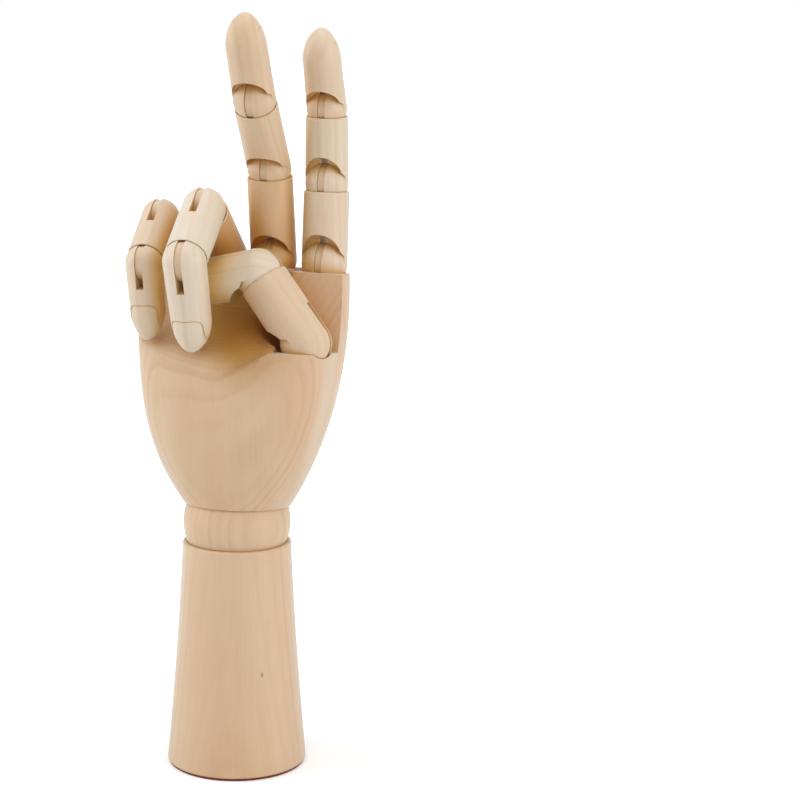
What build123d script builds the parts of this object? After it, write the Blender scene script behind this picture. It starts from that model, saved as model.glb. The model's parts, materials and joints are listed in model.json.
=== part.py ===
from build123d import *
import os
from dataclasses import dataclass
from math import cos, sin, copysign, pi, radians, sqrt

# Driving dimensions in millimetres and degrees.
# The hand stands on its base, +Z up, palm facing -Y, thumb on the +X side.

# Turned forearm, its felt and the ball wrist
BASE_RADIUS = 27.5
PAD_THICKNESS = 1.0
FOREARM_TOP = 90.2
FOREARM_RIM_RADIUS = 21.2
FOREARM_WAIST = 0.6
WRIST_HEIGHT = 97.8
WRIST_RADIUS = 21.0
WRIST_GAP = 0.25
WRIST_BORE = 6.5
WRIST_FLARE = 11.5
FLARE_START = 6.0
EDGE_ROUND = 0.8
PAD_INSET = 0.6

# Spring, rod and eye that pull the wrist together
ROD_RADIUS = 1.5
ROD_BORE = 2.2
EYE_RADIUS = 3.0
EYE_WIRE = 0.9
EYE_OFFSET = 1.5
SPRING_RADIUS = 6.0
SPRING_WIRE = 0.7
SPRING_TURNS = 6
SPRING_PLAY = 0.2
SPRING_BORE = 8.0
SPRING_SHOULDER = 62.0
SPRING_FOOT = 24.0
WASHER_RADIUS = 7.4
WASHER_THICKNESS = 1.2
NUT_ACROSS = 6.0
NUT_HEIGHT = 3.0
EYE_SHANK_TOP = 36.0

# Carved palm, heights above the wrist centre
PALM_LEAN_BACK = 5.5
PALM_RIM_HEIGHT = 6.9
PALM_RIM_RADIUS = 20.8
PALM_TOP = 112.0
PALM_HALF_WIDTH = 39.8
PALM_FRONT = 34.5
PALM_BACK = 14.5
PALM_SHIFT = 3.0
PALM_SHIFT_POWER = 4
PALM_SQUARENESS = 3.8
PALM_SWELL_POWER = 3.7
KNUCKLE_TAPER = 0.03
KNUCKLE_TAPER_START = 0.55
THENAR_SWELL = 0.07
THENAR_ANGLE = -0.28 * pi
THENAR_POWER = 4
PALM_SECTIONS = 8
SECTION_CROWDING = 1.7
SECTION_POINTS = 16

# Hollow in front of the knuckles and the ledge that the thumb stands on
HOLLOW_FRONT = 6.8
HOLLOW_TOP = 96.7
HOLLOW_RADIUS = 20.0
HOLLOW_TURN = 52.0
HOLLOW_SLOPE = 16.4
HOLLOW_LIP_RADIUS = 18.0
HOLLOW_LIP_TURN = 5.0
HOLLOW_REACH = 60.0
LEDGE_LEFT = 22.5
LEDGE_BACK = 10.0
LEDGE_SIDE_SLOPE = 28.0
THUMB_SWING = 11.0

# Finger joints, plain sizes
CUP_GAP = 0.25
TONGUE_THICKNESS = 2.6
SLOT_PLAY = 0.3
PIN_RADIUS = 1.0
PIN_PLAY = 0.1
RIM_BEVEL = 0.4

# Finger joints, shares of the ball's radius
RIM_DROP = 0.35
RIM_TAPER = 0.98
SLOT_TOP = 1.25
TONGUE_DISC = 0.92
TONGUE_WIDTH = 1.0
TONGUE_SHANK = 0.6
ARCH_RADIUS = 0.86
ARCH_CENTRE = 0.49
ARCH_SWING = 1.05
ARCH_FOOT = 0.12
ARCH_BACK = 0.24
ARCH_INNER_TOP = 1.1
ARCH_TOP = 1.4
PIN_LENGTH = 1.985

# Fingertips, their taper, lean and nail width as shares of the radius
TIP_DOME = 12.5
TIP_TAPER = 0.94
TIP_LEAN = 0.4
TIP_SECTIONS = 7
TIP_END_ANGLE = 84.0
NAIL_LINE_DEPTH = 0.3
NAIL_LINE_WIDTH = 0.4
NAIL_LENGTH = 14.0
NAIL_WIDTH = 1.5
NAIL_CORNER = 3.0

# Edge of a cutting block that is larger than the whole hand
AMPLE = 450.0


@dataclass
class Digit:
    """One finger: its first joint on the palm, lean sideways, twist, then sizes and bend by joint."""
    knuckle: tuple
    fan: float
    turn: float
    radii: tuple
    lengths: tuple
    bend: tuple


DIGITS = {
    "index": Digit((31.0, 3.0, 102.0), 0.9, 0.0, (8.9, 8.3, 7.7), (31.0, 28.5, 31.5), (4.0, 6.0, 17.0)),
    "middle": Digit((10.4, 3.0, 102.8), 0.0, 1.0, (8.9, 8.4, 8.1), (36.0, 32.5, 34.0), (15.0, 24.0, -8.0)),
    "ring": Digit((-10.0, 3.0, 103.3), -2.0, 2.0, (8.9, 8.4, 8.2), (30.5, 29.0, 35.0), (54.0, 77.0, 68.0)),
    "little": Digit((-29.5, 3.0, 96.0), -3.0, 2.0, (7.8, 7.4, 7.2), (27.5, 25.0, 29.0), (40.0, 92.0, 57.0)),
    "thumb": Digit((32.5, -20.5, 72.8), 0.0, -91.0, (9.8, 9.5), (32.3, 31.5), (38.0, 64.0)),
}
FINGERS = ("index", "middle", "ring", "little")
SEGMENTS = {3: ("proximal", "middle", "distal"), 2: ("proximal", "distal")}
JOINTS = {3: ("knuckle", "middle", "tip"), 2: ("knuckle", "tip")}

PALM = Pos(0, 0, WRIST_HEIGHT) * Rot(X=-PALM_LEAN_BACK)


def seat_of(digit):
    """Frame of a digit's first joint on the palm: +Z along the straight finger, -Y the way it bends."""
    return PALM * Pos(*digit.knuckle) * Rot(Y=digit.fan) * Rot(Z=digit.turn)


def turned(*edges):
    """Solid of revolution about Z from edges drawn as (radius, height)."""
    return revolve(Plane.XZ * make_face(edges), Axis.Z)


def cylinder_between(radius, low, high):
    """Upright cylinder from one height to another."""
    return Pos(0, 0, low) * Cylinder(radius, high - low, align=(Align.CENTER, Align.CENTER, Align.MIN))


def make_forearm():
    """Turned forearm: waisted cone, cup for the wrist ball and a stepped bore for the spring and rod."""
    foot = PAD_THICKNESS
    middle = ((BASE_RADIUS + FOREARM_RIM_RADIUS) / 2 - FOREARM_WAIST, (FOREARM_TOP + foot) / 2)
    blank = turned(
        Line((0, foot), (BASE_RADIUS, foot)),
        ThreePointArc((BASE_RADIUS, foot), middle, (FOREARM_RIM_RADIUS, FOREARM_TOP)),
        Line((FOREARM_RIM_RADIUS, FOREARM_TOP), (0, FOREARM_TOP)),
        Line((0, FOREARM_TOP), (0, foot)),
    )
    rims = blank.edges().filter_by(GeomType.CIRCLE).filter_by(lambda edge: edge.radius > WRIST_BORE)
    blank = fillet(rims, EDGE_ROUND)
    cup = Pos(0, 0, WRIST_HEIGHT) * Sphere(WRIST_RADIUS + WRIST_GAP)
    spring_bore = cylinder_between(SPRING_BORE, 0, SPRING_SHOULDER)
    rod_bore = cylinder_between(ROD_BORE, SPRING_SHOULDER, FOREARM_TOP)
    return blank - cup - spring_bore - rod_bore


def make_base_pad():
    """Felt disc glued under the foot, which also closes the spring bore."""
    return cylinder_between(BASE_RADIUS - PAD_INSET, 0, PAD_THICKNESS)


def make_wrist_ball():
    """Loose wrist ball with a bore that flares towards both poles, so that the rod and eye can swing."""
    slope = (WRIST_FLARE - WRIST_BORE) / (WRIST_RADIUS - 2 * FLARE_START)
    flare_top = WRIST_RADIUS + 1
    mouth = WRIST_BORE + slope * (flare_top - FLARE_START)
    bore = turned(
        Line((0, -flare_top), (mouth, -flare_top)),
        Polyline((mouth, -flare_top), (WRIST_BORE, -FLARE_START), (WRIST_BORE, FLARE_START),
                 (mouth, flare_top)),
        Line((mouth, flare_top), (0, flare_top)),
        Line((0, flare_top), (0, -flare_top)),
    )
    return PALM * (Sphere(WRIST_RADIUS) - bore)


def make_tension_rod():
    """Steel rod through the forearm, with a ring at the wrist centre."""
    ring_height = WRIST_HEIGHT - EYE_OFFSET
    shank_top = ring_height - EYE_RADIUS
    ring = Pos(0, 0, ring_height) * Rot(Y=90) * Torus(EYE_RADIUS, EYE_WIRE)
    return cylinder_between(ROD_RADIUS, SPRING_FOOT - 2 * NUT_HEIGHT, shank_top) + ring


def make_palm_eye():
    """Screw eye in the palm, linked through the rod's ring at the wrist centre."""
    ring = Pos(0, 0, EYE_OFFSET) * Rot(X=90) * Torus(EYE_RADIUS, EYE_WIRE)
    return PALM * (cylinder_between(ROD_RADIUS, EYE_OFFSET + EYE_RADIUS, EYE_SHANK_TOP) + ring)


def make_wrist_spring():
    """Compression spring round the rod, between the forearm's shoulder and the washer."""
    rise = SPRING_SHOULDER - SPRING_FOOT - 2 * SPRING_WIRE - SPRING_PLAY
    steps = 4 * SPRING_TURNS

    def coil_point(step):
        angle = 2 * pi * SPRING_TURNS * step / steps
        return Vector(SPRING_RADIUS * cos(angle), SPRING_RADIUS * sin(angle), rise * step / steps)

    quarters = [ThreePointArc(coil_point(k), coil_point(k + 0.5), coil_point(k + 1)) for k in range(steps)]
    path = Wire(quarters)
    wire = sweep(Plane(path @ 0, z_dir=path % 0) * Circle(SPRING_WIRE), path)
    return Pos(0, 0, SPRING_FOOT + SPRING_WIRE + SPRING_PLAY / 2) * wire


def make_spring_washer():
    """Washer that the spring pushes on."""
    low = SPRING_FOOT - WASHER_THICKNESS
    disc = cylinder_between(WASHER_RADIUS, low, SPRING_FOOT)
    return disc - cylinder_between(ROD_RADIUS, low, SPRING_FOOT)


def make_rod_nut():
    """Hexagon nut under the washer."""
    low = SPRING_FOOT - WASHER_THICKNESS - NUT_HEIGHT
    nut = Pos(0, 0, low) * extrude(RegularPolygon(NUT_ACROSS / 2, 6, major_radius=False), NUT_HEIGHT)
    return nut - cylinder_between(ROD_RADIUS, low, low + NUT_HEIGHT)


def palm_section(share):
    """Cross-section of the palm at a share of its height: an oval that swells at the thumb's root."""
    swell = 1 - (1 - share) ** PALM_SWELL_POWER
    taper = 1 - KNUCKLE_TAPER * (max(0, share - KNUCKLE_TAPER_START) / (1 - KNUCKLE_TAPER_START)) ** 2
    half_width = taper * (PALM_RIM_RADIUS + swell * (PALM_HALF_WIDTH - PALM_RIM_RADIUS))
    front = PALM_RIM_RADIUS + swell * (PALM_FRONT - PALM_RIM_RADIUS)
    back = PALM_RIM_RADIUS + share * (PALM_BACK - PALM_RIM_RADIUS)
    power = 2 + share * (PALM_SQUARENESS - 2)
    points = []
    for k in range(SECTION_POINTS):
        angle = 2 * pi * k / SECTION_POINTS
        mound = 1 + THENAR_SWELL * swell * max(0, cos(angle - THENAR_ANGLE)) ** THENAR_POWER
        x = mound * copysign(half_width * abs(cos(angle)) ** (2 / power), cos(angle))
        y = mound * copysign((front + back) / 2 * abs(sin(angle)) ** (2 / power), sin(angle))
        points.append((x + PALM_SHIFT * swell ** PALM_SHIFT_POWER, y + (back - front) / 2))
    height = PALM_RIM_HEIGHT + share * (PALM_TOP - PALM_RIM_HEIGHT)
    return Pos(0, 0, height) * make_face(Spline(*points, periodic=True))


def palm_blank():
    """Outer form of the palm, lofted from the round wrist rim to the flat knuckle end."""
    shares = [(k / PALM_SECTIONS) ** SECTION_CROWDING for k in range(PALM_SECTIONS + 1)]
    return loft([palm_section(share) for share in shares])


def ledge_height():
    """Height of the flat that the thumb stands on."""
    thumb = DIGITS["thumb"]
    return thumb.knuckle[2] - RIM_DROP * thumb.radii[0]


def palm_hollow():
    """Scoop in front of the knuckles that rolls over into the palm and rises to the thumb's ledge."""
    steep = radians(HOLLOW_TURN)
    soft = radians(HOLLOW_LIP_TURN)
    wall_top = Vector(-HOLLOW_FRONT, PALM_TOP)
    wall_foot = Vector(-HOLLOW_FRONT, HOLLOW_TOP)
    arc_end = wall_foot - HOLLOW_RADIUS * Vector(1 - cos(steep), sin(steep))
    slope_end = arc_end - HOLLOW_SLOPE * Vector(sin(steep), cos(steep))
    lip_end = slope_end - HOLLOW_LIP_RADIUS * Vector(cos(soft) - cos(steep), sin(steep) - sin(soft))
    out = lip_end - HOLLOW_REACH * Vector(sin(soft), cos(soft))
    scoop = make_face([
        Line(wall_top, wall_foot),
        TangentArc(wall_foot, arc_end, tangent=(0, -1)),
        Line(arc_end, slope_end),
        TangentArc(slope_end, lip_end, tangent=(-sin(steep), -cos(steep))),
        Polyline(lip_end, out, (out.X, PALM_TOP), wall_top),
    ])
    width = LEDGE_LEFT + PALM_TOP
    above_side = Pos(LEDGE_LEFT, 0, ledge_height()) * Rot(Y=-LEDGE_SIDE_SLOPE) * Box(
        AMPLE, AMPLE, AMPLE, align=(Align.CENTER, Align.CENTER, Align.MIN))
    return Pos(-PALM_TOP, 0, 0) * extrude(Plane.YZ * scoop, width) & above_side


def thumb_groove():
    """Groove from the ledge up the hollow, for the thumb when it lies farther over."""
    thumb = DIGITS["thumb"]
    over = seat_of(thumb) * Rot(X=thumb.bend[0] + THUMB_SWING)
    return over * cylinder_between(thumb.radii[0] + CUP_GAP, 0, 2 * thumb.lengths[0])


def knuckle_facet(name, left, right):
    """What is cut off above a finger's seat, within that finger's own strip of the palm."""
    digit = DIGITS[name]
    drop = RIM_DROP * digit.radii[0]
    above = seat_of(digit) * Pos(0, 0, -drop) * Box(
        AMPLE, AMPLE, AMPLE, align=(Align.CENTER, Align.CENTER, Align.MIN))
    strip = PALM * Pos((left + right) / 2, 0, PALM_TOP) * Box(right - left, AMPLE, PALM_TOP)
    return above & strip


def make_palm():
    """Carved palm with the wrist socket, the hollow, the thumb's ledge and a seat for each digit."""
    ledge = Pos(LEDGE_LEFT, -LEDGE_BACK, ledge_height()) * Box(
        AMPLE, AMPLE, AMPLE, align=(Align.MIN, Align.MAX, Align.MIN))
    socket = Sphere(WRIST_RADIUS + WRIST_GAP)
    eye_hole = cylinder_between(ROD_RADIUS, 0, EYE_SHANK_TOP)
    palm = PALM * (palm_blank() - palm_hollow() - ledge - socket - eye_hole) - thumb_groove()
    strips = [PALM_TOP]
    for first, second in zip(FINGERS, FINGERS[1:]):
        strips.append((DIGITS[first].knuckle[0] + DIGITS[second].knuckle[0]) / 2)
    strips.append(-PALM_TOP)
    for name, right, left in zip(FINGERS, strips, strips[1:]):
        palm -= knuckle_facet(name, left, right)
    for digit in DIGITS.values():
        palm -= seat_of(digit) * joint_seat(digit.radii[0])
    return palm


def joint_seat(radius):
    """What a joint takes out of the piece below it: the cup for the ball and the tongue's mortise."""
    return Sphere(radius + CUP_GAP) + tongue_shank(radius)


def tongue_shank(radius):
    """Flat foot of a tongue, from the pivot down into its mortise."""
    depth = radius + CUP_GAP + TONGUE_SHANK * radius
    return Box(
        TONGUE_THICKNESS, TONGUE_WIDTH * radius, depth, align=(Align.CENTER, Align.CENTER, Align.MAX))


def make_tongue(radius):
    """Flat wooden tongue: a round end on the dowel and a foot glued into the piece below."""
    disc = Rot(Y=90) * Cylinder(TONGUE_DISC * radius, TONGUE_THICKNESS)
    hole = Rot(Y=90) * Cylinder(PIN_RADIUS + PIN_PLAY, 2 * TONGUE_THICKNESS)
    return disc + tongue_shank(radius) - hole


def make_pin(radius):
    """Wooden dowel pressed through both cheeks of a ball end."""
    return Rot(Y=90) * Cylinder(PIN_RADIUS, PIN_LENGTH * radius)


def joint_cuts(radius):
    """What is cut from a ball end: slot for the tongue, dowel hole and arched notch on the palm side."""
    tall = 3 * radius
    slot = Pos(0, 0, SLOT_TOP * radius) * Box(
        TONGUE_THICKNESS + SLOT_PLAY, tall, tall, align=(Align.CENTER, Align.CENTER, Align.MAX))
    pin_hole = Rot(Y=90) * Cylinder(PIN_RADIUS, tall)
    arch_radius = ARCH_RADIUS * radius
    spring = ARCH_CENTRE * radius
    arch = make_face([
        ThreePointArc((-arch_radius, spring), (0, spring + arch_radius), (arch_radius, spring)),
        Polyline((arch_radius, spring), (arch_radius, 0), (-arch_radius, 0), (-arch_radius, spring)),
    ])
    arch += Circle(ARCH_SWING * radius)
    foot = ARCH_FOOT * radius
    back = -ARCH_BACK * radius
    top = ARCH_TOP * radius
    side = make_face(Polyline(
        (back, foot), (back, ARCH_INNER_TOP * radius), (-radius, top), (-tall, top), (-tall, foot),
        (back, foot)))
    notch = extrude(Plane.XZ * arch, tall, both=True) & extrude(Plane.YZ * side, tall, both=True)
    return slot + pin_hole + (notch - Sphere(radius))


def ball_arc(radius):
    """Quarter circle of a ball end, from its pole up to its equator."""
    return ThreePointArc((0, -radius), (radius / sqrt(2), -radius / sqrt(2)), (radius, 0))


def make_segment(radius, length, next_radius):
    """Finger segment with a ball end below and a cup for the next segment above."""
    rim_height = length - RIM_DROP * next_radius
    rim_radius = RIM_TAPER * radius
    blank = turned(
        ball_arc(radius),
        Polyline((radius, 0), (rim_radius, rim_height - RIM_BEVEL), (rim_radius - RIM_BEVEL, rim_height),
                 (0, rim_height), (0, -radius)),
    )
    return blank - joint_cuts(radius) - Pos(0, 0, length) * joint_seat(next_radius)


def tip_blank(radius, length, skin=0.0):
    """Fingertip form: a tapering shank, then a dome whose sections lean towards the nail side."""
    bare = radius - skin
    dome_foot = length - TIP_DOME
    shank = turned(
        ball_arc(bare),
        Polyline((bare, 0), (TIP_TAPER * radius - skin, dome_foot), (0, dome_foot), (0, -bare)))
    sections = []
    for k in range(TIP_SECTIONS):
        angle = radians(TIP_END_ANGLE) * k / (TIP_SECTIONS - 1)
        lean = TIP_LEAN * radius * (1 - cos(angle))
        size = (TIP_TAPER * radius - skin) * cos(angle)
        sections.append(Pos(0, lean, dome_foot + (TIP_DOME - skin) * sin(angle)) * Circle(size))
    return shank + loft(sections)


def make_fingertip(radius, length):
    """Last segment of a digit, with the outline of the nail engraved in it."""
    def nail_block(inset):
        width = NAIL_WIDTH * radius - 2 * inset
        outline = RectangleRounded(width, 2 * (NAIL_LENGTH - inset), NAIL_CORNER - inset)
        return extrude(Plane.XZ * Pos(0, length) * outline, -2 * radius)

    blank = tip_blank(radius, length)
    line = nail_block(0) - nail_block(NAIL_LINE_WIDTH) - tip_blank(radius, length, NAIL_LINE_DEPTH)
    return blank - line - joint_cuts(radius)


def digit_nodes(name, digit):
    """Every piece of one digit in its place: segments, tongues and dowels."""
    nodes = {}
    seat = seat_of(digit)
    last = len(digit.radii) - 1
    for k, radius in enumerate(digit.radii):
        joint = f"{name}_{JOINTS[len(digit.radii)][k]}"
        nodes[f"{joint}_tongue"] = seat * make_tongue(radius)
        frame = seat * Rot(X=digit.bend[k])
        nodes[f"{joint}_pin"] = frame * make_pin(radius)
        if k < last:
            segment = make_segment(radius, digit.lengths[k], digit.radii[k + 1])
        else:
            segment = make_fingertip(radius, digit.lengths[k])
        nodes[f"{name}_{SEGMENTS[len(digit.radii)][k]}"] = frame * segment
        seat = frame * Pos(0, 0, digit.lengths[k])
    return nodes


def main():
    """Build every piece and write one file for each."""
    nodes = {
        "forearm": make_forearm(),
        "base_pad": make_base_pad(),
        "wrist_ball": make_wrist_ball(),
        "tension_rod": make_tension_rod(),
        "wrist_spring": make_wrist_spring(),
        "spring_washer": make_spring_washer(),
        "rod_nut": make_rod_nut(),
        "palm_eye": make_palm_eye(),
        "palm": make_palm(),
    }
    for name, digit in DIGITS.items():
        nodes.update(digit_nodes(name, digit))
    os.makedirs("parts", exist_ok=True)
    for name, solid in nodes.items():
        export_step(solid, f"parts/{name}.step")


if __name__ == "__main__":
    main()
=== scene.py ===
import json
import math

import bmesh
import bpy
from bpy.props import FloatProperty, FloatVectorProperty, IntProperty, PointerProperty
from mathutils import Matrix, Vector, noise


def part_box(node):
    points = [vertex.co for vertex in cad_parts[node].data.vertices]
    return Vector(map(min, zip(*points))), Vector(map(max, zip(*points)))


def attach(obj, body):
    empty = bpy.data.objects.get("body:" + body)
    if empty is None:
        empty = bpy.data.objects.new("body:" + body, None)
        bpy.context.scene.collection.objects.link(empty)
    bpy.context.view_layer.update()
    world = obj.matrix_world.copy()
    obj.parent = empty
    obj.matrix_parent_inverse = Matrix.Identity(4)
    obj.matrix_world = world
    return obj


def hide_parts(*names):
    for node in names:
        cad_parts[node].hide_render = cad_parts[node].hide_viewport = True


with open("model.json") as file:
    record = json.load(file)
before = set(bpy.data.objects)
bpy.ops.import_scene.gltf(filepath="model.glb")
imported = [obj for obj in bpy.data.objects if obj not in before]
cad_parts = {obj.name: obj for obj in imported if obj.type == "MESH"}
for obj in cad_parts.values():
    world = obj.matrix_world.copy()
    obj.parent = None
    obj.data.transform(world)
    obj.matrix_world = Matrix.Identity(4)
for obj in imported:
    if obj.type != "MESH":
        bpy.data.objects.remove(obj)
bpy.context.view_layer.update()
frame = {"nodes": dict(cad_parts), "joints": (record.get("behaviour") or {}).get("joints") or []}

bl_info = {
    "name": "Wooden Hand",
    "version": (1, 0, 0),
    "blender": (4, 5, 0),
    "location": "View3D > Sidebar > Hand",
    "description": "Dresses the jointed wooden hand with wood, felt and steel and sets its stage",
    "category": "Object",
}

# All lengths and places are in metres, in the CAD model's frame

# Names of the pieces
FINGERS = ("index", "middle", "ring", "little")
WRIST_STEEL = ("tension_rod", "wrist_spring", "spring_washer", "rod_nut", "palm_eye")
# The joint at the near end of each kind of segment
JOINT_OF = {"proximal": "knuckle", "middle": "middle", "distal": "tip"}

UP = Vector((0, 0, 1))
# First and last number of a value that rises or falls, and the middle of a noise's colours
RISING = (0.0, 1.0)
FALLING = (1.0, 0.0)
NOISE_MIDDLE = Vector((0.5, 0.5, 0.5))
# Sockets of a Mix node that take its two colours and give the result
MIX_FIRST = 6
MIX_SECOND = 7
MIX_RESULT = 2

# Boards
# Share of cream in the wood of the pieces that are paler or darker than the rest
PALENESS = {
    "index_proximal": 0.5, "index_middle": 0.55, "index_distal": 0.35,
    "middle_proximal": -0.3, "middle_middle": 0.1, "middle_distal": 0.15,
    "ring_proximal": -0.1, "ring_middle": 0.8, "ring_distal": 0.7,
    "little_middle": 0.35, "little_distal": 0.45,
    "thumb_proximal": 0.25, "thumb_distal": 0.75, "tongue": 0.35,
}
# Share of the painted recess shade that a piece takes, where it is less than the whole
PAINTED_SHADE_SHARE = {"forearm": 0.2, "palm": 0.4, "tongue": 0.8}
# Number of the board that a piece, or the first segment of a digit, is cut from
BOARD = {"wrist_ball": 2, "index": 4, "middle": 7, "ring": 10, "little": 13, "thumb": 16, "tongue": 20}
# Heart of a board's tree: turn about the piece from board to board, distance from it, shift along the grain
GOLDEN_ANGLE = 2.39996
HEART_NEAREST = 0.045
HEART_STEP = 0.012
HEART_STEPS = 4
BOARD_SHIFT = 0.31

# Grain
# Shares of a year over which the late wood darkens and the ring ends
LATE_WOOD = (0.25, 0.88)
RING_END = (0.86, 1.0)
# How strongly the weakest and the strongest year show
YEAR_VIGOUR = (0.25, 1.0)
# How far the rings wander across the grain
RING_WANDER = (0.007, 0.007, 0.0)
# Shares of fine fibres and broad bands in the streaks, and the middle that the streaks swing about
FIBRE_SHARE = 0.6
BAND_SHARE = 0.4
STREAK_MIDDLE = 0.4
# Noise over which a pore opens, how far pores darken the wood and how deep they cut into the fibres
PORE_SPAN = (0.64, 0.76)
PORE_TONE = 0.07
PORE_DEPTH = 0.6
# Noise over which the blush comes in
BLUSH_SPAN = (0.35, 0.7)

# Surface of the wood
# Openness to the sky over which the painted shade of a recess clears
PAINTED_SHADE_SPAN = (0.2, 0.85)
# Added roughness where the grain is dark
DARK_ROUGHER = 0.25
# Radius that every edge of the palm is sanded to, and the lip of its hollow
EDGE_RADIUS = 0.0004
LIP_RADIUS = 0.009

# Forearm: the heart of its tree, and its one small flaw
FOREARM_HEART = Vector((-0.0205, 0.0713, 0.66))
SPECK_PLACE = Vector((0.0167, -0.0173, 0.0416))
SPECK_REACH = (0.0002, 0.0009)
SPECK_STRETCH = (1.0, 1.0, 0.6)
SPECK_SHARE = 0.65

# Palm: a point on the ball of the thumb, the way that face looks, and the tree's heart behind it
PALM_FACE = Vector((0.0231, -0.0248, 0.1383))
PALM_OUTWARD = Vector((0.24, -0.95, -0.21)).normalized()
PALM_HEART_DEPTH = 0.0974
# How many times closer the growth rings of the palm lie
PALM_FIGURE = 2.0

# Hollow of the palm: the middle of its floor and of its deep end, and how far the painted shade at each
# reaches
HOLLOW_FLOOR = Vector((0.012, -0.017, 0.172))
FLOOR_REACH = (0.007, 0.025)
HOLLOW_DEPTH = Vector((0.005, -0.005, 0.182))
DEPTH_REACH = (0.012, 0.028)
# Openness over which the painted shade at the floor eases, and its share there
COVERED_SPAN = (0.9, 1.0)
COVERED_SHARE = (1.0, 0.8)
# Where the rounding of the lip ends: across at the ledge, and in height at its foot and its top
LEDGE_SIDE = (0.016, 0.021)
LIP_FOOT = (0.125, 0.135)
LIP_TOP = (0.178, 0.184)

# Steel: noise over which scratches and tarnish come in, and what they change
SCRATCH_SPAN = (0.3, 0.7)
SCRATCH_SMOOTHER = 0.08
SCRATCH_ROUGHER = 0.12
TARNISH_SPAN = (0.4, 0.75)
TARNISH_SHARE = (0.0, 0.7)
TARNISH_SHADE = 0.65

# Felt: noise over which matted and worn wool show, and their shades
MATTED_SPAN = (0.35, 0.65)
MATTED_SHADE = 0.45
WORN_SPAN = (0.5, 0.8)
WORN_SHARE = (0.0, 0.4)
WORN_SHADE = 1.5
# Felt disc: shares of the radius at its flat rings and over its rounded edge, and the steps of that edge
FLAT_RINGS = (0.0, 0.5, 0.8, 0.94)
EDGE_ROUND = 0.015
EDGE_STEPS = 6
# Waver of the felt's edge: where it starts, how fine it is and how far it stays inside the disc
WAVER_FROM = 0.9
WAVER_SCALE = 40
WAVER_INWARD = 0.6

# Stage
FLOOR_SIZE = 12.0
# Distance from the hand over which the floor goes over into the white backdrop
FLOOR_FADE = (0.06, 0.4)
WHITE = (1, 1, 1, 1)
# Place and size of each lamp, and the point that all of them look at
LAMPS = {
    "front_lamp": ((0.15, -0.75, 1.15), 0.7),
    "left_lamp": ((-0.9, -0.3, 0.5), 0.8),
    "right_lamp": ((1.0, -0.2, 0.45), 0.8),
    "top_lamp": ((0.0, 0.0, 1.1), 0.8),
}
LAMP_AIM = Vector((0.0, 0.0, 0.16))
# Width of the camera's sensor in millimetres, and how near it sees
SENSOR_WIDTH = 36.0
CLIP_START = 0.01


class WoodSettings(bpy.types.PropertyGroup):
    """Colours and grain of the sanded wood."""

    pale: FloatVectorProperty(
        name="Pale wood", description="Colour between the growth rings",
        subtype="COLOR", size=3, min=0, max=1, default=(0.645, 0.468, 0.298))
    cream: FloatVectorProperty(
        name="Cream wood", description="Colour of the palest pieces",
        subtype="COLOR", size=3, min=0, max=1, default=(0.72, 0.645, 0.53))
    dark: FloatVectorProperty(
        name="Dark wood", description="Colour of the late wood and the fibre streaks",
        subtype="COLOR", size=3, min=0, max=1, default=(0.54, 0.33, 0.175))
    blush: FloatVectorProperty(
        name="Blush", description="Pinkish tint of the slow colour changes",
        subtype="COLOR", size=3, min=0, max=1, default=(0.645, 0.428, 0.262))
    speck: FloatVectorProperty(
        name="Speck", description="Colour of the small flaw in the forearm",
        subtype="COLOR", size=3, min=0, max=1, default=(0.17, 0.085, 0.035))
    # Painted shade: this colour darkens and warms the wood where other wood is near, in the hollow and the
    # joints
    recess: FloatVectorProperty(
        name="Recess", description="Tint of the wood in the hollow and the joints, darkened by handling",
        subtype="COLOR", size=3, min=0, max=1, default=(1.0, 0.72, 0.14))
    # Painted shade: this colour darkens the wood at the floor of the palm's hollow
    hollow: FloatVectorProperty(
        name="Hollow", description="Tint of the wood at the floor of the palm's hollow",
        subtype="COLOR", size=3, min=0, max=1, default=(0.6, 0.41, 0.05))
    # Painted shade: this colour darkens the deep end of the hollow towards a warm brown
    hollow_warm_shade: FloatVectorProperty(
        name="Hollow glow", description="Warmer tint of the wood at the deep end of the hollow",
        subtype="COLOR", size=3, min=0, max=1, default=(1.0, 0.88, 0.35))
    # How near other wood has to be, and how strongly, for the painted recess shade to show
    painted_shade_reach: FloatProperty(
        name="Recess reach", description="How near other wood has to be for a recess to darken",
        unit="LENGTH", min=0, default=0.04)
    painted_shade_strength: FloatProperty(
        name="Recess strength", description="How far the recesses darken",
        subtype="FACTOR", min=0, max=1, default=0.85)
    sheen: FloatProperty(
        name="Sheen", description="Pale shine of the sanded fibres at grazing angles",
        subtype="FACTOR", min=0, max=1, default=0.42)
    sheen_tint: FloatVectorProperty(
        name="Sheen tint", description="Colour of that shine",
        subtype="COLOR", size=3, min=0, max=1, default=(0.82, 0.96, 1.0))
    ring_spacing: FloatProperty(
        name="Ring spacing", description="Thickness of one year's growth",
        unit="LENGTH", min=0.0005, default=0.0034)
    ring_strength: FloatProperty(
        name="Ring strength", description="How dark the end of a growth ring is",
        subtype="FACTOR", min=0, max=1, default=0.32)
    fibre_strength: FloatProperty(
        name="Fibre strength", description="How much the fine fibre streaks show",
        subtype="FACTOR", min=0, max=1, default=0.9)
    roughness: FloatProperty(
        name="Roughness", description="Roughness of the sanded surface",
        subtype="FACTOR", min=0, max=1, default=0.46)


class FeltSettings(bpy.types.PropertyGroup):
    """The felt under the forearm."""

    colour: FloatVectorProperty(
        name="Felt", description="Colour of the felt",
        subtype="COLOR", size=3, min=0, max=1, default=(0.28, 0.05, 0.03))
    fuzz: FloatProperty(
        name="Fuzz", description="How far the cut edge of the felt wavers",
        unit="LENGTH", min=0, default=0.00018)
    steps: IntProperty(
        name="Steps", description="Corners round the felt's edge",
        min=24, default=240)


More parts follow.
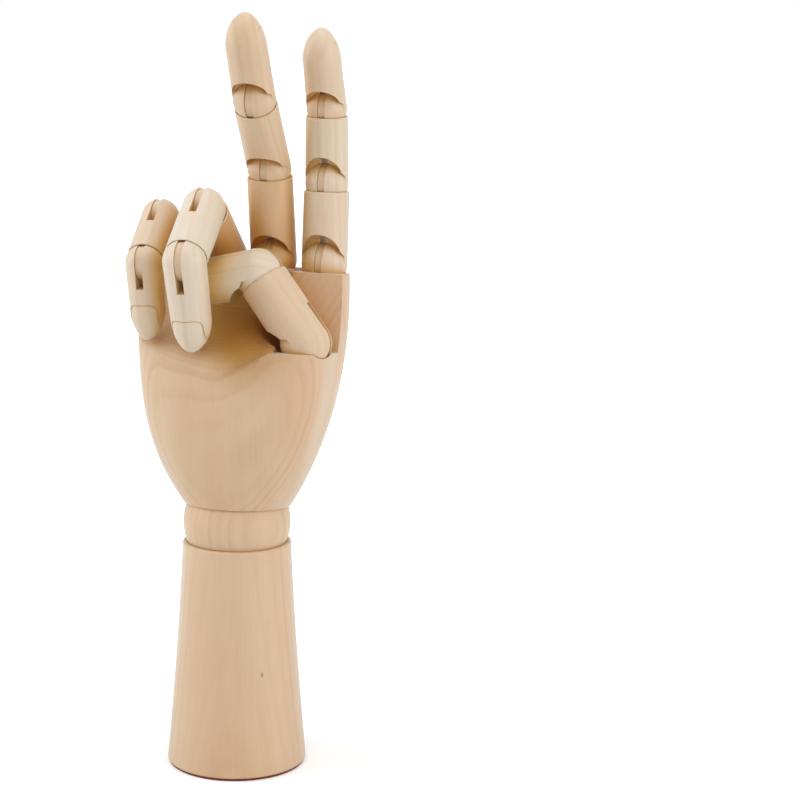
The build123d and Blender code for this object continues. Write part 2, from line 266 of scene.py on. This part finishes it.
class SteelSettings(bpy.types.PropertyGroup):
    """The wrist's spring and rod."""

    colour: FloatVectorProperty(
        name="Steel", description="Colour of the bright wire",
        subtype="COLOR", size=3, min=0, max=1, default=(0.56, 0.55, 0.53))
    roughness: FloatProperty(
        name="Roughness", description="Roughness of the drawn wire",
        subtype="FACTOR", min=0, max=1, default=0.32)


class StageSettings(bpy.types.PropertyGroup):
    """Floor, lamps and camera."""

    floor: FloatVectorProperty(
        name="Floor", description="Colour of the floor",
        subtype="COLOR", size=3, min=0, max=1, default=(0.85, 0.85, 0.85))
    floor_bounce: FloatProperty(
        name="Floor bounce", description="Share of the floor's colour that lights the hand from below",
        subtype="FACTOR", min=0, max=1, default=0.95)
    floor_lift: FloatProperty(
        name="Floor lift", description="Light added to the floor close to the hand where the camera sees it",
        min=0, default=0.25)
    sky: FloatProperty(
        name="Sky", description="Strength of the light from all round",
        min=0, default=0.52)
    front_lamp: FloatProperty(
        name="Front lamp", description="Power of the large lamp in front and above",
        unit="POWER", min=0, default=1.9)
    left_lamp: FloatProperty(
        name="Left lamp", description="Power of the lamp at the left",
        unit="POWER", min=0, default=4.7)
    right_lamp: FloatProperty(
        name="Right lamp", description="Power of the lamp at the right",
        unit="POWER", min=0, default=4.5)
    top_lamp: FloatProperty(
        name="Top lamp", description="Power of the lamp above",
        unit="POWER", min=0, default=3.3)
    camera_place: FloatVectorProperty(
        name="Camera place", description="Where the camera stands",
        subtype="TRANSLATION", unit="LENGTH", size=3, default=(0.2913, -0.7868, 0.3125))
    camera_azimuth: FloatProperty(
        name="Camera azimuth", description="How far round the camera looks from",
        subtype="ANGLE", default=math.radians(16.0))
    camera_pitch: FloatProperty(
        name="Camera pitch", description="How far the camera looks down",
        subtype="ANGLE", default=math.radians(11.2))
    camera_roll: FloatProperty(
        name="Camera roll", description="How far the camera leans",
        subtype="ANGLE", default=math.radians(0.86))
    lens: FloatProperty(
        name="Lens", description="Focal length in millimetres for a sensor of 36",
        min=10, default=99.0)


def link(tree, source, target):
    """Join two sockets, or set the target where the source is a plain value."""
    if isinstance(source, bpy.types.NodeSocket):
        tree.links.new(source, target)
    else:
        target.default_value = source


def add_node(tree, kind, inputs=None, **settings):
    """A new node with its settings and its inputs, each a socket or a plain value."""
    made = tree.nodes.new(kind)
    for key, value in settings.items():
        setattr(made, key, value)
    for key, value in (inputs or {}).items():
        link(tree, value, made.inputs[key])
    return made


def calculated(tree, operation, first, second=0.0, clamp=False):
    """Result of a Math node."""
    made = add_node(tree, "ShaderNodeMath", {0: first, 1: second}, operation=operation, use_clamp=clamp)
    return made.outputs[0]


def product(tree, first, second):
    """Two values multiplied."""
    return calculated(tree, "MULTIPLY", first, second)


def vector_sum(tree, first, second):
    """Two vectors added."""
    return add_node(tree, "ShaderNodeVectorMath", {0: first, 1: second}, operation="ADD").outputs[0]


def scaled(tree, vector, scale):
    """A vector multiplied by three numbers."""
    return add_node(tree, "ShaderNodeVectorMath", {0: vector, 1: scale}, operation="MULTIPLY").outputs[0]


def length_of(tree, vector):
    """Length of a vector."""
    return add_node(tree, "ShaderNodeVectorMath", {0: vector}, operation="LENGTH").outputs["Value"]


def noise_at(tree, vector, scale, along=1.0, detail=2.0, roughness=0.5):
    """A Noise Texture, drawn out along Z where along is under 1."""
    if along != 1.0:
        vector = scaled(tree, vector, (1.0, 1.0, along))
    return add_node(
        tree, "ShaderNodeTexNoise",
        {"Vector": vector, "Scale": scale, "Detail": detail, "Roughness": roughness})


def eased(tree, value, span, result=RISING):
    """A value eased from one span into another."""
    return add_node(
        tree, "ShaderNodeMapRange",
        {"Value": value, "From Min": span[0], "From Max": span[1], "To Min": result[0], "To Max": result[1]},
        interpolation_type="SMOOTHSTEP").outputs["Result"]


def near_point(tree, place, centre, reach, stretch=(1.0, 1.0, 1.0)):
    """1 close to a point, easing to 0 between the two distances of its reach."""
    offset = scaled(tree, vector_sum(tree, place, -centre), stretch)
    return eased(tree, length_of(tree, offset), reach, FALLING)


def mixed(tree, share, first, second, blend="MIX"):
    """Two colours mixed by a share."""
    made = add_node(tree, "ShaderNodeMix", data_type="RGBA", blend_type=blend)
    link(tree, share, made.inputs["Factor"])
    link(tree, first, made.inputs[MIX_FIRST])
    link(tree, second, made.inputs[MIX_SECOND])
    return made.outputs[MIX_RESULT]


def opaque(colour):
    """A colour property with its fourth number."""
    return (*colour, 1.0)


def shade_of(colour, shade):
    """A colour made darker, or paler where the shade is over 1."""
    return [shade * value for value in colour]


def between(first, second, share):
    """Colour between two colours, or beyond the first where the share is negative."""
    return [low + (high - low) * share for low, high in zip(first, second)]


def new_material(name):
    """An empty material, its nodes and the place of each point of the surface."""
    made = bpy.data.materials.new(name)
    made.use_nodes = True
    tree = made.node_tree
    tree.nodes.clear()
    return made, tree, add_node(tree, "ShaderNodeTexCoord").outputs["Object"]


def show(tree, shader, output="ShaderNodeOutputMaterial"):
    """Send a shader to the output of its material or world."""
    link(tree, shader, add_node(tree, output).inputs["Surface"])


def new_group(name, inputs, outputs):
    """An empty shader node group with its sockets, and its input and output nodes."""
    tree = bpy.data.node_groups.new(name, "ShaderNodeTree")
    for label, kind in inputs:
        tree.interface.new_socket(label, in_out="INPUT", socket_type=kind)
    for label, kind in outputs:
        tree.interface.new_socket(label, in_out="OUTPUT", socket_type=kind)
    return tree, tree.nodes.new("NodeGroupInput"), tree.nodes.new("NodeGroupOutput")


def grain_group():
    """Node group for wood grain along local Z: growth rings, broad bands, fibre streaks, pores and blush."""
    found = bpy.data.node_groups.get("Wood grain")
    if found:
        return found
    tree, given, result = new_group(
        "Wood grain",
        [("Vector", "NodeSocketVector"), ("Ring Spacing", "NodeSocketFloat"),
         ("Ring Strength", "NodeSocketFloat"), ("Fibre Strength", "NodeSocketFloat")],
        [("Tone", "NodeSocketFloat"), ("Blush", "NodeSocketFloat"), ("Height", "NodeSocketFloat")])
    place = given.outputs["Vector"]

    # Growth rings round the heart, which wander a little and differ from year to year
    wander = noise_at(tree, place, scale=22.0, along=0.3).outputs["Color"]
    shift = scaled(tree, vector_sum(tree, wander, -NOISE_MIDDLE), RING_WANDER)
    across = scaled(tree, vector_sum(tree, place, shift), (1.0, 1.0, 0.0))
    years = calculated(tree, "DIVIDE", length_of(tree, across), given.outputs["Ring Spacing"])
    season = calculated(tree, "FRACT", years)
    vigour = add_node(
        tree, "ShaderNodeTexWhiteNoise", {"W": calculated(tree, "FLOOR", years)},
        noise_dimensions="1D").outputs["Value"]
    ring = product(tree, eased(tree, season, LATE_WOOD), eased(tree, season, RING_END, FALLING))
    ring = product(tree, ring, eased(tree, vigour, RISING, YEAR_VIGOUR))
    ring = product(tree, ring, given.outputs["Ring Strength"])

    # Streaks of fine fibres and broad bands
    band = noise_at(tree, place, scale=130.0, along=0.03).outputs["Fac"]
    fibre = noise_at(tree, place, scale=900.0, along=0.015, detail=4.0, roughness=0.65).outputs["Fac"]
    streak = calculated(tree, "ADD", product(tree, fibre, FIBRE_SHARE), product(tree, band, BAND_SHARE))
    streak = calculated(tree, "SUBTRACT", streak, STREAK_MIDDLE)
    streak = product(tree, streak, given.outputs["Fibre Strength"])

    # Pores, and the slow change towards the blush
    pore = noise_at(tree, place, scale=3000.0, along=0.06, detail=1.0).outputs["Fac"]
    pore = eased(tree, pore, PORE_SPAN)
    slow = noise_at(tree, place, scale=40.0, along=0.25).outputs["Fac"]

    tone = calculated(tree, "ADD", ring, streak)
    tone = calculated(tree, "ADD", tone, product(tree, pore, PORE_TONE), clamp=True)
    height = calculated(tree, "SUBTRACT", fibre, product(tree, pore, PORE_DEPTH))
    link(tree, tone, result.inputs["Tone"])
    link(tree, eased(tree, slow, BLUSH_SPAN), result.inputs["Blush"])
    link(tree, height, result.inputs["Height"])
    return tree


def wood_colour(tree, wood, cream_share):
    """Colour of the grain, for a piece with its share of cream."""
    settings = bpy.context.scene.hand_wood
    pale = between(settings.pale, settings.cream, cream_share)
    blush = between(settings.blush, settings.cream, cream_share)
    dark = between(settings.dark, settings.pale, max(cream_share, 0.0))
    colour = mixed(tree, wood.outputs["Blush"], opaque(pale), opaque(blush))
    return mixed(tree, wood.outputs["Tone"], colour, opaque(dark))


def at_lip(tree, place):
    """1 in the palm's hollow and over its lower lip, 0 at the ledge and beyond."""
    spot = add_node(tree, "ShaderNodeSeparateXYZ", {0: place})
    beside = eased(tree, spot.outputs["X"], LEDGE_SIDE, FALLING)
    above = eased(tree, spot.outputs["Z"], LIP_FOOT)
    below = eased(tree, spot.outputs["Z"], LIP_TOP, FALLING)
    return product(tree, product(tree, beside, above), below)


def sanded_over(tree, place, lip_radius):
    """Normal of edges sanded round: by the lip's radius at the hollow's lower edge, barely elsewhere."""
    radius = eased(tree, at_lip(tree, place), RISING, (EDGE_RADIUS, lip_radius))
    return add_node(tree, "ShaderNodeBevel", {"Radius": radius}, samples=8).outputs["Normal"]


def painted_hollow_shade(tree, place, openness, colour):
    """A colour with painted shade in the palm's hollow, darker at its floor and warmer at its deep end."""
    settings = bpy.context.scene.hand_wood
    covered = eased(tree, openness, COVERED_SPAN, COVERED_SHARE)
    floor = product(tree, covered, near_point(tree, place, HOLLOW_FLOOR, FLOOR_REACH))
    colour = mixed(tree, floor, colour, opaque(settings.hollow), "MULTIPLY")
    deep = near_point(tree, place, HOLLOW_DEPTH, DEPTH_REACH)
    return mixed(tree, deep, colour, opaque(settings.hollow_warm_shade), "MULTIPLY")


def wood_material(name, grain, heart, speck=None, lip_radius=0.0, figure=1.0):
    """Sanded wood whose grain runs along a direction, beside the heart of its tree.

    speck is the place of a flaw. A lip_radius rounds the lip of the palm's hollow and paints shade into the
    hollow.
    figure makes the growth rings closer and stronger.
    """
    settings = bpy.context.scene.hand_wood
    made, tree, place = new_material(f"{name}_wood")
    turn = grain.to_track_quat("Z", "Y").to_euler("XYZ")
    local = add_node(
        tree, "ShaderNodeMapping", {"Vector": place, "Location": heart, "Rotation": turn},
        vector_type="TEXTURE").outputs["Vector"]
    wood = add_node(
        tree, "ShaderNodeGroup",
        {"Vector": local, "Ring Spacing": settings.ring_spacing / figure,
         "Ring Strength": settings.ring_strength * math.sqrt(figure),
         "Fibre Strength": settings.fibre_strength},
        node_tree=grain_group())
    colour = wood_colour(tree, wood, PALENESS.get(name, 0.0))
    if speck:
        flaw = near_point(tree, place, speck, SPECK_REACH, SPECK_STRETCH)
        colour = mixed(tree, product(tree, flaw, SPECK_SHARE), colour, opaque(settings.speck))

    # Painted shade: the wood darkens and warms where ambient occlusion finds other wood near
    open_sky = add_node(tree, "ShaderNodeAmbientOcclusion", {"Distance": settings.painted_shade_reach}, samples=8)
    openness = open_sky.outputs["AO"]
    darkest = PAINTED_SHADE_SHARE.get(name, 1.0) * settings.painted_shade_strength
    recess = eased(tree, openness, PAINTED_SHADE_SPAN, (darkest, 0.0))
    colour = mixed(tree, recess, colour, opaque(settings.recess), "MULTIPLY")
    bump = add_node(
        tree, "ShaderNodeBump",
        {"Strength": 0.2, "Distance": 0.00012, "Height": wood.outputs["Height"]})
    if lip_radius:
        softened = sanded_over(tree, place, lip_radius)
        link(tree, softened, open_sky.inputs["Normal"])
        link(tree, softened, bump.inputs["Normal"])
        # Painted shade in the palm's hollow
        colour = painted_hollow_shade(tree, place, openness, colour)

    smooth = settings.roughness
    rough = eased(tree, wood.outputs["Tone"], RISING, (smooth, smooth + DARK_ROUGHER))
    surface = add_node(
        tree, "ShaderNodeBsdfPrincipled",
        {"Base Color": colour, "Roughness": rough, "Normal": bump.outputs["Normal"],
         "Specular IOR Level": 0.5, "Sheen Weight": settings.sheen, "Sheen Roughness": 0.45,
         "Sheen Tint": opaque(settings.sheen_tint)})
    show(tree, surface.outputs["BSDF"])
    return made


def give(node, material):
    """Give a CAD node one material."""
    piece = frame["nodes"][node]
    if piece.data.materials:
        for k in range(len(piece.data.materials)):
            piece.data.materials[k] = material
    else:
        piece.data.materials.append(material)


def anchor_of(child):
    """Where the joint of a body turns, in the frame."""
    return next(Vector(joint["pos_m"]) for joint in frame["joints"] if joint["child"] == child)


def middle_of(node):
    """Mean place of a CAD node's corners."""
    corners = frame["nodes"][node].data.vertices
    return sum((corner.co for corner in corners), Vector()) / len(corners)


def heart_beside(place, grain, board):
    """A point beside the piece for the heart of its tree, turned a golden angle from board to board."""
    side = grain.orthogonal().normalized()
    side.rotate(Matrix.Rotation(board * GOLDEN_ANGLE, 3, grain))
    distance = HEART_NEAREST + HEART_STEP * (board % HEART_STEPS)
    return place + side * distance + grain * BOARD_SHIFT * board


def segments_of(digit):
    """Names of a digit's segments from the palm outwards, each with the dowel of its near joint."""
    pairs = [(f"{digit}_{kind}", f"{digit}_{joint}_pin") for kind, joint in JOINT_OF.items()]
    return [(segment, dowel) for segment, dowel in pairs if segment in frame["nodes"]]


def dress_segments(digit):
    """Wood along the axis of each segment of a digit and of the dowel whose ends show in it."""
    for k, (segment, dowel) in enumerate(segments_of(digit)):
        start = anchor_of(segment)
        grain = (middle_of(segment) - start).normalized()
        made = wood_material(segment, grain, heart_beside(start, grain, BOARD[digit] + k))
        give(segment, made)
        give(dowel, made)


class HAND_OT_turn_forearm(bpy.types.Operator):
    """Give the forearm and the wrist ball their turned wood"""

    bl_idname = "hand.turn_forearm"
    bl_label = "Turn forearm"

    def execute(self, context):
        give("forearm", wood_material("forearm", UP, FOREARM_HEART, speck=SPECK_PLACE))
        heart = heart_beside(anchor_of("wrist_ball"), UP, BOARD["wrist_ball"])
        give("wrist_ball", wood_material("wrist_ball", UP, heart))
        return {"FINISHED"}


class HAND_OT_carve_palm(bpy.types.Operator):
    """Give the palm its carved wood, with the loops of a flat-sawn face at the ball of the thumb"""

    bl_idname = "hand.carve_palm"
    bl_label = "Carve palm"

    def execute(self, context):
        grain = (UP - PALM_OUTWARD * PALM_OUTWARD.z).normalized()
        heart = PALM_FACE - PALM_OUTWARD * PALM_HEART_DEPTH
        made = wood_material("palm", grain, heart, lip_radius=LIP_RADIUS, figure=PALM_FIGURE)
        give("palm", made)
        return {"FINISHED"}


class HAND_OT_fit_fingers(bpy.types.Operator):
    """Give each finger segment and its dowel wood of its own, with the grain along the segment"""

    bl_idname = "hand.fit_fingers"
    bl_label = "Fit fingers"

    def execute(self, context):
        for digit in FINGERS:
            dress_segments(digit)
        return {"FINISHED"}


class HAND_OT_fit_thumb(bpy.types.Operator):
    """Give the thumb's two segments and their dowels their wood"""

    bl_idname = "hand.fit_thumb"
    bl_label = "Fit thumb"

    def execute(self, context):
        dress_segments("thumb")
        return {"FINISHED"}


class HAND_OT_fit_tongues(bpy.types.Operator):
    """Give the flat tongues in the joints their wood"""

    bl_idname = "hand.fit_tongues"
    bl_label = "Fit tongues"

    def execute(self, context):
        made = wood_material("tongue", UP, heart_beside(Vector(), UP, BOARD["tongue"]))
        for name in frame["nodes"]:
            if name.endswith("_tongue"):
                give(name, made)
        return {"FINISHED"}


def steel_material():
    """Bright drawn wire with fine scratches and a little tarnish."""
    settings = bpy.context.scene.hand_steel
    made, tree, place = new_material("bright_wire")
    scratch = noise_at(tree, place, scale=2400.0, along=0.2, detail=3.0).outputs["Fac"]
    smoothest = settings.roughness - SCRATCH_SMOOTHER
    roughest = settings.roughness + SCRATCH_ROUGHER
    tarnish = noise_at(tree, place, scale=300.0).outputs["Fac"]
    colour = mixed(
        tree, eased(tree, tarnish, TARNISH_SPAN, TARNISH_SHARE),
        opaque(settings.colour), opaque(shade_of(settings.colour, TARNISH_SHADE)))
    surface = add_node(
        tree, "ShaderNodeBsdfPrincipled",
        {"Base Color": colour, "Metallic": 1.0,
         "Roughness": eased(tree, scratch, SCRATCH_SPAN, (smoothest, roughest))})
    show(tree, surface.outputs["BSDF"])
    return made


class HAND_OT_fit_steel(bpy.types.Operator):
    """Give the wrist's rod, spring, washer, nut and eye their steel"""

    bl_idname = "hand.fit_steel"
    bl_label = "Fit steel"

    def execute(self, context):
        made = steel_material()
        for name in WRIST_STEEL:
            give(name, made)
        return {"FINISHED"}


def felt_material():
    """Pressed wool: matted fibres, worn places and a soft sheen."""
    settings = bpy.context.scene.hand_felt
    made, tree, place = new_material("red_felt")
    matted = noise_at(tree, place, scale=1800.0, detail=5.0, roughness=0.7).outputs["Fac"]
    worn = noise_at(tree, place, scale=90.0).outputs["Fac"]
    colour = mixed(
        tree, eased(tree, matted, MATTED_SPAN),
        opaque(shade_of(settings.colour, MATTED_SHADE)), opaque(settings.colour))
    colour = mixed(
        tree, eased(tree, worn, WORN_SPAN, WORN_SHARE),
        colour, opaque(shade_of(settings.colour, WORN_SHADE)))
    bump = add_node(tree, "ShaderNodeBump", {"Strength": 0.8, "Distance": 0.0003, "Height": matted})
    surface = add_node(
        tree, "ShaderNodeBsdfPrincipled",
        {"Base Color": colour, "Roughness": 0.95, "Normal": bump.outputs["Normal"],
         "Specular IOR Level": 0.1, "Sheen Weight": 0.35, "Sheen Roughness": 0.5})
    show(tree, surface.outputs["BSDF"])
    return made


def felt_profile():
    """Shares of the radius and the thickness at each ring, from below round the edge to above."""
    rounded = []
    for k in range(EDGE_STEPS + 1):
        turn = k * math.pi / EDGE_STEPS
        rounded.append((1.0 - EDGE_ROUND + EDGE_ROUND * math.sin(turn), 0.5 - 0.5 * math.cos(turn)))
    below = [(share, 0.0) for share in FLAT_RINGS]
    above = [(share, 1.0) for share in reversed(FLAT_RINGS)]
    return below + rounded + above


def join_rings(shape, rings):
    """Faces from each ring of corners to the next; a ring of one corner is the middle."""
    for inner, outer in zip(rings, rings[1:]):
        steps = max(len(inner), len(outer))
        for k in range(steps):
            after = (k + 1) % steps
            if len(inner) == 1:
                shape.faces.new((inner[0], outer[after], outer[k]))
            elif len(outer) == 1:
                shape.faces.new((outer[0], inner[k], inner[after]))
            else:
                shape.faces.new((inner[k], inner[after], outer[after], outer[k]))


def felt_mesh(settings, radius, bottom, top):
    """A disc of felt between two heights, with a rounded and wavering edge."""
    shape = bmesh.new()
    rings = []
    for share, level in felt_profile():
        height = UP * (bottom + level * (top - bottom))
        if share == 0.0:
            rings.append([shape.verts.new(height)])
            continue
        ring = []
        for k in range(settings.steps):
            angle = 2 * math.pi * k / settings.steps
            spot = Vector((math.cos(angle), math.sin(angle), 0))
            waver = 0.0
            if share > WAVER_FROM:
                waver = settings.fuzz * (noise.noise(spot * WAVER_SCALE + UP * level) - WAVER_INWARD)
            ring.append(shape.verts.new(spot * (share * radius + waver) + height))
        rings.append(ring)
    join_rings(shape, rings)
    bmesh.ops.recalc_face_normals(shape, faces=shape.faces)
    mesh = bpy.data.meshes.new("base_felt")
    shape.to_mesh(mesh)
    shape.free()
    for face in mesh.polygons:
        face.use_smooth = True
    return mesh


class HAND_OT_lay_felt(bpy.types.Operator):
    """Make the felt disc under the forearm, with a soft wavering edge"""

    bl_idname = "hand.lay_felt"
    bl_label = "Lay felt"

    def execute(self, context):
        low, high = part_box("base_pad")
        radius = (high.x - low.x) / 2
        mesh = felt_mesh(context.scene.hand_felt, radius, low.z, high.z)
        mesh.materials.append(felt_material())
        felt = bpy.data.objects.new("base_felt", mesh)
        context.scene.collection.objects.link(felt)
        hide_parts("base_pad")
        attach(felt, "forearm")
        return {"FINISHED"}


def seen_directly(tree):
    """1 for rays that should see the white backdrop: from the camera, a mirror or glass."""
    rays = add_node(tree, "ShaderNodeLightPath")
    mirror = calculated(tree, "MAXIMUM", rays.outputs["Is Glossy Ray"], rays.outputs["Is Transmission Ray"])
    return calculated(tree, "MAXIMUM", rays.outputs["Is Camera Ray"], mirror)


def white_world(strength):
    """White backdrop for the camera, softer light for everything else."""
    made = bpy.data.worlds.new("studio")
    made.use_nodes = True
    tree = made.node_tree
    tree.nodes.clear()
    level = add_node(
        tree, "ShaderNodeMapRange",
        {"Value": seen_directly(tree), "To Min": strength, "To Max": 1.0}).outputs["Result"]
    sky = add_node(tree, "ShaderNodeBackground", {"Color": WHITE, "Strength": level})
    show(tree, sky.outputs["Background"], "ShaderNodeOutputWorld")
    return made


def floor_material(settings):
    """Pale floor that keeps the hand's shadow and goes over into the white backdrop away from it."""
    made, tree, place = new_material("pale_floor")
    seen = seen_directly(tree)
    bounce = shade_of(settings.floor, settings.floor_bounce)
    matt = add_node(
        tree, "ShaderNodeBsdfDiffuse",
        {"Color": mixed(tree, seen, opaque(bounce), opaque(settings.floor))})
    lift = eased(tree, length_of(tree, place), FLOOR_FADE, (settings.floor_lift, 1.0))
    glow = add_node(
        tree, "ShaderNodeEmission", {"Color": WHITE, "Strength": product(tree, seen, lift)})
    both = add_node(tree, "ShaderNodeAddShader", {0: matt.outputs["BSDF"], 1: glow.outputs["Emission"]})
    show(tree, both.outputs["Shader"])
    return made


def add_lamp(name, place, size, power):
    """A square soft lamp that looks at the hand."""
    lamp = bpy.data.lights.new(name, "AREA")
    lamp.shape = "SQUARE"
    lamp.size = size
    lamp.energy = power
    made = bpy.data.objects.new(name, lamp)
    bpy.context.scene.collection.objects.link(made)
    made.location = place
    made.rotation_euler = (LAMP_AIM - Vector(place)).to_track_quat("-Z", "Y").to_euler()


def add_camera(settings):
    """The camera at its place, turned by its azimuth, pitch and roll."""
    turn = settings.camera_azimuth
    pitch = settings.camera_pitch
    roll = settings.camera_roll
    back = Vector((math.sin(turn) * math.cos(pitch), -math.cos(turn) * math.cos(pitch), math.sin(pitch)))
    right = Vector((math.cos(turn), math.sin(turn), 0))
    across = right * math.cos(roll) + back.cross(right) * math.sin(roll)
    axes = Matrix((across, back.cross(across), back)).transposed()
    lens = bpy.data.cameras.new("camera")
    lens.sensor_width = SENSOR_WIDTH
    lens.lens = settings.lens
    lens.clip_start = CLIP_START
    made = bpy.data.objects.new("camera", lens)
    bpy.context.scene.collection.objects.link(made)
    made.matrix_world = Matrix.Translation(settings.camera_place) @ axes.to_4x4()
    return made


class HAND_OT_set_stage(bpy.types.Operator):
    """Make the floor, the lamps, the white surroundings and the camera"""

    bl_idname = "hand.set_stage"
    bl_label = "Set stage"

    def execute(self, context):
        settings = context.scene.hand_stage
        scene = context.scene
        bpy.ops.mesh.primitive_plane_add(size=FLOOR_SIZE)
        floor = context.object
        floor.name = "floor"
        floor.data.materials.append(floor_material(settings))
        scene.world = white_world(settings.sky)
        for name, (place, size) in LAMPS.items():
            add_lamp(name, place, size, getattr(settings, name))
        scene.camera = add_camera(settings)
        scene.view_settings.view_transform = "Standard"
        return {"FINISHED"}


class HAND_PT_sidebar(bpy.types.Panel):
    """Lists the settings and the steps that dress the hand"""

    bl_label = "Wooden hand"
    bl_idname = "HAND_PT_sidebar"
    bl_space_type = "VIEW_3D"
    bl_region_type = "UI"
    bl_category = "Hand"

    def draw(self, context):
        for name, group in SETTINGS.items():
            box = self.layout.box()
            for key in group.__annotations__:
                box.prop(getattr(context.scene, name), key)
        for step in STEPS:
            self.layout.operator(step.bl_idname)


STEPS = (
    HAND_OT_turn_forearm, HAND_OT_carve_palm, HAND_OT_fit_fingers, HAND_OT_fit_thumb,
    HAND_OT_fit_tongues, HAND_OT_fit_steel, HAND_OT_lay_felt, HAND_OT_set_stage,
)
SETTINGS = {
    "hand_wood": WoodSettings,
    "hand_felt": FeltSettings,
    "hand_steel": SteelSettings,
    "hand_stage": StageSettings,
}


def register():
    """Add the settings, the steps and the panel."""
    for name, group in SETTINGS.items():
        bpy.utils.register_class(group)
        setattr(bpy.types.Scene, name, PointerProperty(type=group))
    for step in STEPS:
        bpy.utils.register_class(step)
    bpy.utils.register_class(HAND_PT_sidebar)


def unregister():
    """Take the panel, the steps and the settings away again."""
    bpy.utils.unregister_class(HAND_PT_sidebar)
    for step in reversed(STEPS):
        bpy.utils.unregister_class(step)
    for name, group in SETTINGS.items():
        delattr(bpy.types.Scene, name)
        bpy.utils.unregister_class(group)


def main():
    """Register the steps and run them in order."""
    register()
    bpy.ops.hand.turn_forearm()
    bpy.ops.hand.carve_palm()
    bpy.ops.hand.fit_fingers()
    bpy.ops.hand.fit_thumb()
    bpy.ops.hand.fit_tongues()
    bpy.ops.hand.fit_steel()
    bpy.ops.hand.lay_felt()
    bpy.ops.hand.set_stage()


if __name__ == "__main__":
    main()
